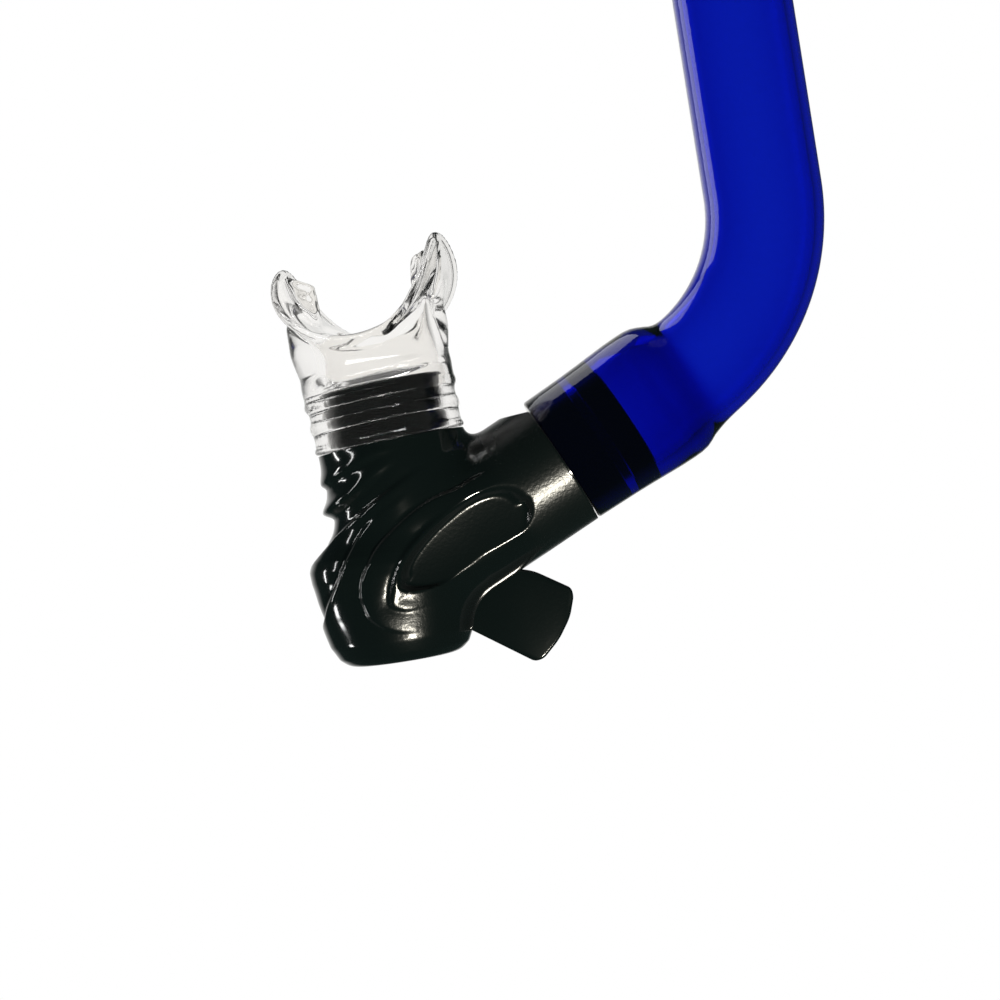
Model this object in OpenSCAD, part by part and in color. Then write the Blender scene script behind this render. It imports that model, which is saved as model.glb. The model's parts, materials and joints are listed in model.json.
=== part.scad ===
// Snorkel: bent breathing tube on a moulded lower chamber, with a clear bite
// mouthpiece, a purge valve in the floor of the chamber and a strap keeper.
// Millimetres. The origin is the centre of the mouth opening, between the lips.
// The straight run of the tube is parallel to +Z and stands at +X.

/* [Overall] */
// Height of the open top of the tube above the mouth
top_height = 330; // [240:5:400]
// Distance from the mouth to the axis of the straight tube
tube_reach = 87; // [78:1:105]
// Depth of the meeting point of mouthpiece axis and arm axis below the mouth
junction_drop = 47.4; // [45:0.2:58]
// Lean of the mouthpiece axis away from the tube, in degrees
mouth_tilt = 3; // [0:0.5:8]

/* [Tube] */
// Outer diameter of the tube
tube_od = 25; // [20:0.5:30]
// Wall of the tube
tube_wall = 2; // [1.5:0.1:3]
// Radius of the bend, to the middle of the tube
bend_r = 41; // [34:0.5:46]
// Rise of the arm above the horizontal, in degrees
arm_angle = 25; // [20:1:32]

/* [Tube socket and arm spigot] */
// Distance from the junction to the shoulder that the socket butts against
arm_length = 36.8; // [33:0.2:42]
// Length of the arm spigot inside the socket
arm_spigot_length = 16.5; // [13:0.5:18]
// Wall of the socket
socket_wall = 2.45; // [2:0.05:3.5]
// Step from the bore of the tube out to the bore of the socket
socket_step = 1.55; // [1.2:0.05:2.2]
// Wall of the arm spigot
arm_spigot_wall = 2.2; // [1.8:0.1:3]
// Middle of the snap groove, from the shoulder
snap_place = 9.8; // [8:0.1:11]
// Width of the snap groove
snap_width = 2.2; // [1.6:0.1:3]
// Depth of the snap groove
snap_depth = 0.8; // [0.5:0.05:1.2]

/* [Mouthpiece] */
// Bore of the cuff
cuff_bore_r = 12.85; // [11:0.05:14]
// Wall of the cuff between its ribs
cuff_wall = 2.75; // [2:0.05:3.5]
// Height of the ribs around the cuff
cuff_rib = 0.45; // [0.4:0.05:1.2]
// Depth of the rim of the cuff below the mouth
cuff_drop = 22; // [20:0.5:26]
// Length of the mouth spigot inside the cuff
mouth_spigot_length = 12.1; // [10:0.1:14]
// Wall of the mouth spigot
mouth_spigot_wall = 2.1; // [1.6:0.1:3]
// Width of the lip flange
flange_width = 36.4; // [34:0.2:46]
// Height of the lip flange
flange_height = 28; // [26:1:36]
// Thickness of the lip flange
flange_wall = 1.5; // [1:0.1:2.5]
// Height of the ends of the flange above the mouth
flange_rise = 19.2; // [16:0.2:22]
// Shift of the flange and the tabs across the throat, to the tube side
flange_shift = 1.8; // [0:0.2:2.4]
// Thickness of a bite tab
tab_thick = 2.6; // [2:0.1:4]
// Width of a bite tab, from the flange inwards
tab_width = 8; // [6.5:0.5:10]
// Turn of the bite about the mouthpiece axis, in degrees
bite_turn = -16; // [-60:2:60]

/* [Lower chamber] */
// Radius of the barrel below the cuff
barrel_r = 15.5; // [15:0.1:17.5]
// Greatest radius of the bowl
bowl_r = 16.8; // [15.5:0.1:19]
// Wall of the bowl
bowl_wall = 2.8; // [2.2:0.1:3.4]
// Depth of the floor of the bowl below the junction
bowl_depth = 20.4; // [19.5:0.1:26]
// Offset of the bowl from the mouth, away from the tube
bowl_offset = 2.65; // [1:0.05:5]
// Thickness of the side fin
fin_thick = 3; // [2:0.1:5]
// Reach of the side fin beyond the bowl, along the fin
fin_reach = 22.8; // [18:0.2:28]
// Width of the side fin
fin_width = 17; // [14:0.5:19]
// Fall of the fin below the horizontal, in degrees
fin_slope = 35; // [28:1:42]

/* [Purge valve] */
// Radius of the purge port
port_r = 11.2; // [10.5:0.1:12.5]
// Depth of the port, from the floor up to the ledge
port_depth = 7.2; // [6.8:0.1:8.5]
// Thickness of the valve seat
seat_thick = 2.2; // [1.6:0.1:3]
// Thickness of the valve flap
flap_thick = 0.9; // [0.6:0.1:1.2]
// Lift of the valve flap off its seat
flap_lift = 1.5; // [0.8:0.1:1.6]
// Thickness of the slotted purge cover
cover_thick = 2; // [1.5:0.1:2.4]
// Radius of the stem of the flap
stem_r = 1.5; // [1:0.1:2]

/* [Strap keeper] */
// Height of the middle of the keeper above the mouth
keeper_height = 150; // [100:5:190]
// Length of the rubber sleeve
sleeve_length = 26; // [22:1:34]
// Wall of the rubber sleeve in its groove
sleeve_wall = 1.1; // [0.8:0.1:1.8]
// Height of the lips at the ends of the sleeve
sleeve_lip = 1.3; // [0.8:0.1:2]
// Width of the ring of the clip
clip_ring_width = 14; // [10:1:16]
// Wall of the ring of the clip
clip_wall = 2.4; // [2:0.1:3.5]
// Length of the strap slot
slot_length = 27; // [20:1:32]
// Width of the strap slot
slot_width = 5; // [4.6:0.1:7]
// Thickness of the bars around the strap slot
slot_bar = 2.6; // [2:0.1:4]

/* [Signal band] */
// Length of the signal band at the top
band_length = 30; // [20:1:40]
// Wall of the signal band
band_wall = 0.6; // [0.4:0.1:1]

/* [Clearances] */
// Radial running clearance where one piece turns on another
running_gap = 0.05; // [0.02:0.01:0.09]
// Clearance where one piece is pushed into another and stays
seat_gap = 0.05; // [0.02:0.01:0.2]
// Gap at the end of a piece that moves along its neighbour
end_gap = 0.3; // [0.1:0.05:0.5]

/* [Hidden] */
$fn = 96;
over = 1; // how far a cutter runs past the face that it cuts

// Tube
tube_r = tube_od / 2;
bore_r = tube_r - tube_wall;
bend_angle = 90 - arm_angle;
socket_bore_r = bore_r + socket_step;
socket_r = socket_bore_r + socket_wall;
arm_spigot_r = socket_bore_r - running_gap;
arm_bore_r = arm_spigot_r - arm_spigot_wall;
swell = 0.6; // how far the socket swells towards the end of the spigot
socket_taper = 3.4; // length over which the socket narrows to the tube
lap = 0.2; // how much thicker the end of the socket is than the bend that grows out of it
lap_angle = 2; // of the bend that is sunk in the end of the socket

// The junction, and the corner where the arm axis meets the tube axis
junction = [junction_drop * sin(mouth_tilt), 0, -junction_drop * cos(mouth_tilt)];
corner_run = (tube_reach - junction.x) / cos(arm_angle);
bend_tangent = bend_r * tan(bend_angle / 2);
bend_top_z = junction.z + corner_run * sin(arm_angle) + bend_tangent;
arm_run = corner_run - bend_tangent - arm_length; // straight tube from socket face to bend

// Mouthpiece
cuff_r = cuff_bore_r + cuff_wall;
mouth_spigot_r = cuff_bore_r - running_gap;
mouth_bore_r = mouth_spigot_r - mouth_spigot_wall;
cuff_top = mouth_spigot_length + end_gap; // height of the inner step of the cuff above its rim
collar = 2.5; // thickness of the round top of the cuff, under the oval throat
rib_places = [0.6, 5.4, 10]; // middle of each rib above the rim of the cuff
rib_widths = [1.2, 2.1, 1.6];
bead_depth = 0.6; // of the retaining beads inside the cuff
arch_r = flange_width / 2; // outer radius of the U that the flange follows
arch_z = arch_r - flange_wall; // height of the centre of that U above the mouth
airway_r = 6.5; // half height of the oval airway
airway_shift = 5; // from its middle to the centre of each round end
throat_wall = 4.6; // around the oval airway
tab_lip = 1.8; // width of the ridge along the inner edge of a tab
tab_lip_height = 8;
tab_drop = 3; // of the ends of the tabs below the ends of the flange

// Bowl of the chamber
bowl_x = -bowl_offset;
floor_z = junction.z - bowl_depth;
ledge_z = floor_z + port_depth;
fin_rise = 3.5; // of the point on the bowl's axis that the fin's axis comes from, above the junction
ledge_width = 1.7;
ledge_thick = 1.6;

// Purge valve
flap_r = port_r - 1.55;
skirt_wall = 1.1; // of the cover's skirt, which holds the seat up against its ledge
seat_low_z = ledge_z - seat_gap - seat_thick;
flap_top_z = seat_low_z - running_gap;
cover_top_z = floor_z + cover_thick;
hub_r = stem_r + 1.7;
spoke_width = 1.6;

// Keeper
sleeve_bore_r = tube_r + running_gap;
sleeve_r = sleeve_bore_r + sleeve_wall;
clip_bore_r = sleeve_r + running_gap;
clip_r = clip_bore_r + clip_wall;

module at_mouth() {
    rotate([0, -mouth_tilt, 0]) children();
}

module at_cuff() { // +Z along the mouthpiece axis, from the rim of the cuff
    at_mouth() translate([0, 0, -cuff_drop]) children();
}

module at_arm() { // +Z along the arm axis, from the junction
    translate(junction) rotate([0, bend_angle, 0]) children();
}

module at_socket() { // +Z along the arm axis, from the shoulder
    at_arm() translate([0, 0, arm_length]) children();
}

module at_bowl(z) {
    translate([bowl_x, 0, z]) children();
}

module ring(r_out, r_in, h) {
    difference() {
        cylinder(r = r_out, h = h);
        translate([0, 0, -over]) cylinder(r = r_in, h = h + 2 * over);
    }
}

module oval(r, shift) { // two round ends joined by a rectangle
    for (side = [-1, 1]) translate([side * shift, 0]) circle(r = r);
    square([2 * shift, 2 * r], center = true);
}

module rounded_rectangle(width, height, corner) {
    square([width - 2 * corner, height], center = true);
    square([width, height - 2 * corner], center = true);
    for (x = [-1, 1], y = [-1, 1])
        translate([x * (width / 2 - corner), y * (height / 2 - corner)]) circle(r = corner);
}

// ---------- mouthpiece ----------

module at_bite() { // +X across the bite, +Z out of the mouth opening
    at_mouth() rotate([0, 0, bite_turn]) children();
}

module at_lips() { // the middle of the U
    at_bite() translate([flange_shift, 0, 0]) children();
}

module cuff_outside() {
    cylinder(r = cuff_r, h = cuff_top + collar);
    for (i = [0:2])
        translate([0, 0, rib_places[i] - rib_widths[i] / 2])
            cylinder(r = cuff_r + cuff_rib, h = rib_widths[i]);
}

module cuff_inside() { // the bore that the mouth spigot fills, less the two beads
    difference() {
        translate([0, 0, -over]) cylinder(r = cuff_bore_r, h = cuff_top + over);
        for (i = [1:2])
            translate([0, 0, rib_places[i] - rib_widths[i] / 2 + end_gap / 2])
                ring(cuff_bore_r + over, cuff_bore_r - bead_depth, rib_widths[i] - end_gap);
    }
}

module throat_outside() {
    translate([0, 0, cuff_top + collar / 2 - cuff_drop])
        linear_extrude(cuff_drop - cuff_top - collar / 2 + flange_wall)
            oval(airway_r + throat_wall, airway_shift + 1);
}

module flange_outside() { // a block with a round back and round ends, which the mouth room hollows out
    end_r = flange_height / 2;
    intersection() {
        translate([0, 0, arch_z]) rotate([90, 0, 0])
            cylinder(r = arch_r, h = flange_height + over, center = true);
        rotate([90, 0, 90]) linear_extrude(flange_width + over, center = true) {
            translate([0, flange_rise - end_r]) circle(r = end_r);
            translate([-end_r, -over]) square([flange_height, flange_rise - end_r + over]);
        }
    }
}

module mouth_room() { // the inside of the U, where the teeth go
    translate([0, 0, arch_z]) rotate([90, 0, 0])
        cylinder(r = arch_r - flange_wall, h = 2 * flange_height, center = true);
}

module airway() {
    translate([0, 0, cuff_top - over - cuff_drop])
        linear_extrude(cuff_drop + 2 * over) oval(airway_r, airway_shift);
}

module tab_plate(x, width, height) { // the part of the U's inside from x outwards
    intersection() {
        translate([0, 0, arch_z]) rotate([90, 0, 0])
            cylinder(r = arch_r - flange_wall / 2, h = height, center = true);
        translate([x, -height, 0]) cube([width, 2 * height, flange_rise - tab_drop]);
    }
}

module bite_tabs() {
    inner_x = arch_r - flange_wall - tab_width;
    for (turn = [0, 180]) rotate([0, 0, turn]) {
        tab_plate(inner_x, 2 * tab_width, tab_thick);
        tab_plate(inner_x, tab_lip, tab_lip_height);
    }
}

module mouthpiece() {
    color([0.93, 0.93, 0.91, 0.4]) {
        difference() {
            union() {
                at_cuff() cuff_outside();
                at_bite() throat_outside();
                at_lips() flange_outside();
            }
            at_cuff() cuff_inside();
            at_bite() airway();
            at_lips() mouth_room();
        }
        at_lips() bite_tabs();
    }
}

// ---------- lower chamber ----------

module mouth_spigot() { // above the shoulder that the cuff rests on
    difference() {
        translate([0, 0, end_gap - over]) cylinder(r = mouth_spigot_r, h = mouth_spigot_length + over - end_gap);
        for (i = [1:2])
            translate([0, 0, rib_places[i] - rib_widths[i] / 2])
                ring(mouth_spigot_r + over, mouth_spigot_r - bead_depth, rib_widths[i]);
    }
}

module arm_spigot() {
    difference() {
        translate([0, 0, -over]) cylinder(r = arm_spigot_r, h = arm_spigot_length + over);
        translate([0, 0, snap_place - snap_width / 2])
            ring(arm_spigot_r + over, arm_spigot_r - snap_depth, snap_width);
    }
}

module bowl_outside() {
    rotate_extrude()
        polygon([
            [0, bowl_depth + 13], [bowl_r - 7, bowl_depth + 11.5],
            [bowl_r - 4.5, bowl_depth + 7], [bowl_r - 0.5, bowl_depth + 1],
            [bowl_r, bowl_depth - 3], [bowl_r - 0.4, bowl_depth - 9],
            [bowl_r - 1.3, 6.5], [bowl_r - 3, 2.6], [bowl_r - 4.4, 0.6],
            [bowl_r - 5.2, 0], [0, 0]
        ]);
}

module bowl_inside() { // a step inside the outline, above the ledge
    inner_r = bowl_r - bowl_wall;
    rotate_extrude()
        polygon([
            [0, bowl_depth + 9], [inner_r - 5, bowl_depth + 6],
            [inner_r, bowl_depth - 1], [inner_r, port_depth + 5],
            [port_r - ledge_width, port_depth + ledge_thick], [0, port_depth + ledge_thick]
        ]);
}

module side_fin() { // flat plate with a slightly convex end, between the arm and the bowl
    end = bowl_r + fin_reach;
    crown_r = 32; // of the end
    at_bowl(junction.z + fin_rise) rotate([0, fin_slope, 0])
        rotate([90, 0, 0]) linear_extrude(fin_thick, center = true) intersection() {
            translate([end / 2, 0]) rounded_rectangle(end, fin_width, 2.2);
            translate([end - crown_r, 0]) circle(r = crown_r);
        }
}

module chamber_body() {
    color([0.02, 0.03, 0.03])
        difference() {
            union() {
                at_cuff() {
                    mouth_spigot();
                    translate([0, 0, cuff_drop - junction_drop])
                        cylinder(r = barrel_r, h = junction_drop - cuff_drop - end_gap);
                }
                at_arm() cylinder(r = socket_r, h = arm_length);
                at_socket() arm_spigot();
                at_bowl(floor_z) bowl_outside();
                difference() {
                    side_fin();
                    at_bowl(floor_z) cylinder(r = bowl_r - bowl_wall, h = bowl_depth + 5);
                }
            }
            at_mouth() translate([0, 0, -junction_drop])
                cylinder(r = mouth_bore_r, h = junction_drop);
            at_arm() cylinder(r = arm_bore_r, h = arm_length + arm_spigot_length + over);
            at_bowl(floor_z) bowl_inside();
            at_bowl(floor_z - over) cylinder(r = port_r, h = port_depth + over);
            at_bowl(floor_z) cylinder(r = port_r - ledge_width, h = port_depth + 2 * ledge_thick);
        }
}

// ---------- tube ----------

module socket_outside() {
    rotate_extrude()
        polygon([
            [0, end_gap], [socket_r, end_gap], [socket_r + swell, arm_spigot_length],
            [socket_r + swell, arm_run - socket_taper],
            [tube_r + lap, arm_run - lap], [tube_r + lap, arm_run], [0, arm_run]
        ]);
}

module socket_inside() { // bore of the socket, its snap groove partner and the cone to the tube
    rib_half = (snap_width - end_gap) / 2;
    rib_r = arm_spigot_r - snap_depth + running_gap;
    cone_z = arm_run - socket_taper - socket_step;
    rotate_extrude()
        polygon([
            [0, -over], [socket_bore_r, -over],
            [socket_bore_r, snap_place - rib_half], [rib_r, snap_place - rib_half],
            [rib_r, snap_place + rib_half], [socket_bore_r, snap_place + rib_half],
            [socket_bore_r, cone_z], [bore_r + lap, arm_run - socket_step],
            [bore_r + lap, arm_run], [0, arm_run]
        ]);
}

module bend(r) { // from the foot of the straight tube to a little way inside the socket
    translate([tube_reach - bend_r, 0, bend_top_z]) rotate([-90, 0, 0])
        rotate_extrude(angle = bend_angle + lap_angle) translate([bend_r, 0]) circle(r = r);
}

module tube() {
    color([0.01, 0.03, 0.65, 0.6])
        difference() {
            union() {
                at_socket() socket_outside();
                bend(tube_r);
                translate([tube_reach, 0, bend_top_z])
                    cylinder(r = tube_r, h = top_height - bend_top_z);
            }
            at_socket() socket_inside();
            bend(bore_r);
            translate([tube_reach, 0, bend_top_z])
                cylinder(r = bore_r, h = top_height - bend_top_z + over);
        }
}

// ---------- purge valve ----------

module purge_seat() {
    color([0.05, 0.05, 0.06]) at_bowl(seat_low_z) {
        ring(port_r - seat_gap, flap_r - 1.1, seat_thick);
        difference() {
            union() {
                cylinder(r = hub_r, h = seat_thick);
                for (turn = [0:90:270])
                    rotate([0, 0, turn + 45]) translate([0, -spoke_width / 2, 0])
                        cube([flap_r - 0.6, spoke_width, seat_thick]);
            }
            translate([0, 0, -over]) cylinder(r = stem_r + running_gap, h = seat_thick + 2 * over);
        }
    }
}

module purge_flap() { // thin disc, with a stem through the seat and a bulb that keeps it there
    bulb_z = flap_thick + running_gap + seat_thick + flap_lift + 2 * running_gap;
    color([0.85, 0.87, 0.88, 0.6]) at_bowl(flap_top_z - flap_thick) {
        cylinder(r = flap_r, h = flap_thick);
        cylinder(r = stem_r, h = bulb_z + 1);
        translate([0, 0, bulb_z]) cylinder(r1 = stem_r + 1, r2 = stem_r * 0.6, h = 3);
    }
}

module purge_cover() { // slotted plate with a skirt that reaches up to the seat
    bar = 1.5;
    pitch = 4.2;
    color([0.04, 0.04, 0.05]) at_bowl(floor_z) {
        ring(port_r - seat_gap, port_r - seat_gap - skirt_wall, seat_low_z - floor_z - seat_gap);
        intersection() {
            cylinder(r = port_r - seat_gap - skirt_wall / 2, h = cover_thick);
            union() {
                for (i = [-2:2])
                    translate([0, i * pitch, cover_thick / 2])
                        cube([2 * port_r, bar, cover_thick], center = true);
                translate([0, 0, cover_thick / 2]) cube([bar, 2 * port_r, cover_thick], center = true);
            }
        }
        ring(port_r - seat_gap, port_r - 2.6, cover_thick);
    }
}

// ---------- strap keeper ----------

module keeper_sleeve() { // rubber sleeve with a lip at each end, which the clip turns between
    lip_length = (sleeve_length - clip_ring_width - 2 * end_gap) / 2;
    color([0.03, 0.03, 0.03]) translate([tube_reach, 0, keeper_height - sleeve_length / 2]) {
        ring(sleeve_r, sleeve_bore_r, sleeve_length);
        for (z = [0, sleeve_length - lip_length])
            translate([0, 0, z]) ring(sleeve_r + sleeve_lip, sleeve_bore_r, lip_length);
    }
}

module keeper_clip() { // ring around the sleeve, with a loop for the mask strap
    loop_depth = slot_width + 2 * slot_bar;
    loop_height = slot_length + 2 * slot_bar;
    loop_thick = 5;
    lip_clear_r = sleeve_r + sleeve_lip + 2 * end_gap;
    color([0.03, 0.03, 0.035]) translate([tube_reach, 0, keeper_height])
        difference() {
            union() {
                translate([0, 0, -clip_ring_width / 2]) cylinder(r = clip_r, h = clip_ring_width);
                translate([-lip_clear_r - loop_depth, 0, 0]) rotate([90, 0, 0])
                    translate([loop_depth / 2, 0, -loop_thick / 2]) linear_extrude(loop_thick)
                        rounded_rectangle(loop_depth, loop_height, 2);
                translate([-lip_clear_r - slot_bar / 2, -loop_thick / 2, -clip_ring_width / 2])
                    cube([lip_clear_r, loop_thick, clip_ring_width]);
            }
            cylinder(r = clip_bore_r, h = clip_ring_width + 2 * over, center = true);
            translate([-lip_clear_r - loop_depth / 2, 0, 0]) rotate([90, 0, 0])
                translate([0, 0, -loop_thick]) linear_extrude(2 * loop_thick)
                    rounded_rectangle(slot_width, slot_length, 1);
        }
}

// ---------- signal band ----------

module signal_band() {
    color([0.95, 0.35, 0.05]) translate([tube_reach, 0, top_height - 2 - band_length])
        ring(tube_r + seat_gap + band_wall, tube_r + seat_gap, band_length);
}

mouthpiece();
chamber_body();
tube();
purge_seat();
purge_flap();
purge_cover();
keeper_sleeve();
keeper_clip();
signal_band();
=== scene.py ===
"""Snorkel tube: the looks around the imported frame.

Shapes are made in millimetres and brought to metres when a piece is finished.
"""

import json
import math

import bmesh
import bpy
import numpy as np
from mathutils import Matrix, Vector


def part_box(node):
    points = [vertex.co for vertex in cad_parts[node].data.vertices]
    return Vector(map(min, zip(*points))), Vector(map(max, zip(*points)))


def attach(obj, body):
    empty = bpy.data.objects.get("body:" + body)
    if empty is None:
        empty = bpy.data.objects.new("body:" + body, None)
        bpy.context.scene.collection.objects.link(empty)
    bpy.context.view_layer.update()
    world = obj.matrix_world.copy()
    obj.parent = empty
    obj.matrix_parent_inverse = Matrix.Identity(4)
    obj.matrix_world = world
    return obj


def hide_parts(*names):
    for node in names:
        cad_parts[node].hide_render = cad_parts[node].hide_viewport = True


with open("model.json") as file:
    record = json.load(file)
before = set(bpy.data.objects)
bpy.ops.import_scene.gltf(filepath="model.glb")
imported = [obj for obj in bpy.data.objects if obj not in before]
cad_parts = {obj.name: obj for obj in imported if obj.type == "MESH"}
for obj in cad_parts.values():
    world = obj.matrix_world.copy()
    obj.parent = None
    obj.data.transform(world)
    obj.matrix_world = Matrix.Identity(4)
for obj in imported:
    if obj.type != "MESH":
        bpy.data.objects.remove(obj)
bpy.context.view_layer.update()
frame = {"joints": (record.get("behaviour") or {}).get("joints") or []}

MM = 0.001
JOINTS = {j["name"]: j for j in frame["joints"]}


# ---------- places, all in millimetres ----------

def shift(x=0.0, y=0.0, z=0.0):
    return Matrix.Translation((x, y, z))


def looking_along(origin, axis):
    """A frame at origin whose Z is axis, for an axis in the plane of the bend."""
    z = Vector(axis).normalized()
    y = Vector((0, 1, 0))
    x = y.cross(z).normalized()
    m = Matrix((x, y, z)).transposed().to_4x4()
    m.translation = Vector(origin)
    return m


def box_mm(node):
    low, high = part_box(node)
    return low / MM, high / MM


CUFF_DROP = 22.0        # from the lips down to the rim of the cuff
BITE_TURN = -16.0       # degrees that the bite is turned round the throat
ARM_LENGTH = 36.8       # from the junction to the shoulder that the socket meets
ARM_RUN = 30.34         # length of the socket
BEND_R = 41.0
BEND_ANGLE = 65.0
GRIP_R = 11.98          # bore of the socket where it grips the spigot
TUBE_R = 12.5
TUBE_BORE_R = 10.5

junction = Vector(JOINTS["tube_swivel"]["pos_m"]) / MM
tube_x = JOINTS["clip_turn"]["pos_m"][0] / MM
keeper_z = JOINTS["clip_turn"]["pos_m"][2] / MM
tube_top = box_mm("tube")[1].z
cover_low, cover_high = box_mm("purge_cover")

MOUTH = looking_along((0, 0, 0), JOINTS["chamber_turn"]["axis"])
CUFF = MOUTH @ shift(z=-CUFF_DROP)
BITE = MOUTH @ Matrix.Rotation(math.radians(BITE_TURN), 4, "Z")
ARM = looking_along(junction, JOINTS["tube_swivel"]["axis"])
SOCKET = ARM @ shift(z=ARM_LENGTH)
BOWL = shift((cover_low.x + cover_high.x) / 2, 0, cover_low.z)
KEEPER = shift(tube_x, 0, keeper_z)


# ---------- making and joining meshes ----------

def lathe(profile, place, closed=True, steps=128):
    """Spins a profile of (radius, height) around Z and puts it in a place."""
    bm = bmesh.new()
    verts = [bm.verts.new((r, 0, z)) for r, z in profile]
    pairs = list(zip(verts, verts[1:])) + ([(verts[-1], verts[0])] if closed else [])
    edges = [bm.edges.new(p) for p in pairs]
    bmesh.ops.spin(bm, geom=verts + edges, cent=(0, 0, 0), axis=(0, 0, 1), dvec=(0, 0, 0),
                   angle=2 * math.pi, steps=steps, use_merge=True, use_duplicate=False)
    bmesh.ops.remove_doubles(bm, verts=bm.verts, dist=1e-4)
    bmesh.ops.recalc_face_normals(bm, faces=bm.faces)
    bm.transform(place)
    return bm


def bevel_edges(bm, edges, width, segments):
    bmesh.ops.bevel(bm, geom=edges, offset=width, offset_type="OFFSET", segments=segments,
                    profile=0.5, affect="EDGES", clamp_overlap=True, material=-1)


def soften(bm, width, segments=3, angle=28):
    """Rounds every edge that is sharper than an angle, in degrees."""
    limit = math.radians(angle)
    sharp = [e for e in bm.edges if len(e.link_faces) == 2 and e.calc_face_angle(0) > limit]
    bevel_edges(bm, sharp, width, segments)
    return bm


def pipe(stations, sides=112):
    """A closed skin through rings. A station is a frame and a radius; the last ring joins the first."""
    bm = bmesh.new()
    at, r = stations[0]
    bmesh.ops.create_circle(bm, segments=sides, radius=r, matrix=at)
    first = ring = list(bm.edges)
    for (was, r0), (now, r1) in zip(stations, stations[1:]):
        made = bmesh.ops.extrude_edge_only(bm, edges=ring)["geom"]
        verts = [g for g in made if isinstance(g, bmesh.types.BMVert)]
        ring = [g for g in made if isinstance(g, bmesh.types.BMEdge) and g.is_boundary]
        step = now @ Matrix.Diagonal((r1 / r0, r1 / r0, 1, 1)) @ was.inverted()
        bmesh.ops.transform(bm, matrix=step, verts=verts)
    bmesh.ops.bridge_loops(bm, edges=first + ring)
    bmesh.ops.recalc_face_normals(bm, faces=bm.faces)
    return bm


def plate(outline, thick, place, bevel=0.4, segments=3):
    """A flat plate in the XZ plane of a place, thick along Y, with rounded edges."""
    bm = bmesh.new()
    face = bm.faces.new([bm.verts.new((x, -thick / 2, z)) for x, z in outline])
    top = bmesh.ops.extrude_face_region(bm, geom=[face])["geom"]
    moved = [g for g in top if isinstance(g, bmesh.types.BMVert)]
    bmesh.ops.translate(bm, vec=(0, thick, 0), verts=moved)
    bmesh.ops.recalc_face_normals(bm, faces=bm.faces)
    soften(bm, bevel, segments)
    bm.transform(place)
    return bm


def box_outline(x0, z0, x1, z1):
    return [(x0, z0), (x1, z0), (x1, z1), (x0, z1)]


def rounded(points, radius, steps=6):
    """The outline with each corner turned into an arc of about that radius."""
    out = []
    n = len(points)
    for i in range(n):
        a, b, c = (Vector(points[(i + k - 1) % n]) for k in range(3))
        r = min(radius, (a - b).length * 0.45, (c - b).length * 0.45)
        p = b + (a - b).normalized() * r
        q = b + (c - b).normalized() * r
        for k in range(steps + 1):
            t = k / steps
            out.append(tuple((1 - t) ** 2 * p + 2 * t * (1 - t) * b + t ** 2 * q))
    return out


def to_object(bm, name="work"):
    mesh = bpy.data.meshes.new(name)
    bm.to_mesh(mesh)
    bm.free()
    return link_mesh(mesh, name)


def link_mesh(mesh, name="work"):
    obj = bpy.data.objects.new(name, mesh)
    bpy.context.scene.collection.objects.link(obj)
    return obj


def apply_modifiers(obj):
    bpy.context.view_layer.update()
    mesh = bpy.data.meshes.new_from_object(obj.evaluated_get(bpy.context.evaluated_depsgraph_get()))
    obj.modifiers.clear()
    old = obj.data
    obj.data = mesh
    bpy.data.meshes.remove(old)
    return obj


def boolean(obj, bm, operation):
    """Joins or cuts with the solid in bm."""
    tool = to_object(bm, "tool")
    m = obj.modifiers.new("boolean", "BOOLEAN")
    m.operation = operation
    m.solver = "EXACT"
    m.object = tool
    apply_modifiers(obj)
    mesh = tool.data
    bpy.data.objects.remove(tool)
    bpy.data.meshes.remove(mesh)
    return obj


def remesh(obj, voxel):
    m = obj.modifiers.new("remesh", "REMESH")
    m.mode = "VOXEL"
    m.voxel_size = voxel
    m.adaptivity = 0.0
    return apply_modifiers(obj)


def points_of(obj):
    co = np.zeros(len(obj.data.vertices) * 3)
    obj.data.vertices.foreach_get("co", co)
    return co.reshape(-1, 3)


def set_points(obj, p):
    obj.data.vertices.foreach_set("co", p.astype(np.float32).ravel())
    obj.data.update()


def relax(obj, factor, times):
    """Moves every point towards the middle of its neighbours."""
    bm = bmesh.new()
    bm.from_mesh(obj.data)
    for _ in range(times):
        bmesh.ops.smooth_vert(bm, verts=bm.verts, factor=factor,
                              use_axis_x=True, use_axis_y=True, use_axis_z=True)
    bm.to_mesh(obj.data)
    bm.free()


def slopes(field, p, step=0.02):
    """The field at each point, and how steeply it rises along X, Y and Z."""
    base = field(p)
    g = np.stack([(field(p + step * e) - base) / step for e in np.eye(3)], 1)
    return base, g


def settle(obj, field, times, reach):
    """Moves every point of a mesh to where the field is zero, relaxing the mesh a little on the way."""
    for i in range(times):
        if i:
            relax(obj, 0.5, 1)
        p = points_of(obj)
        f, g = slopes(field, p)
        p -= (np.clip(f, -reach, reach) / np.maximum((g ** 2).sum(1), 0.2))[:, None] * g
        set_points(obj, p)


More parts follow.
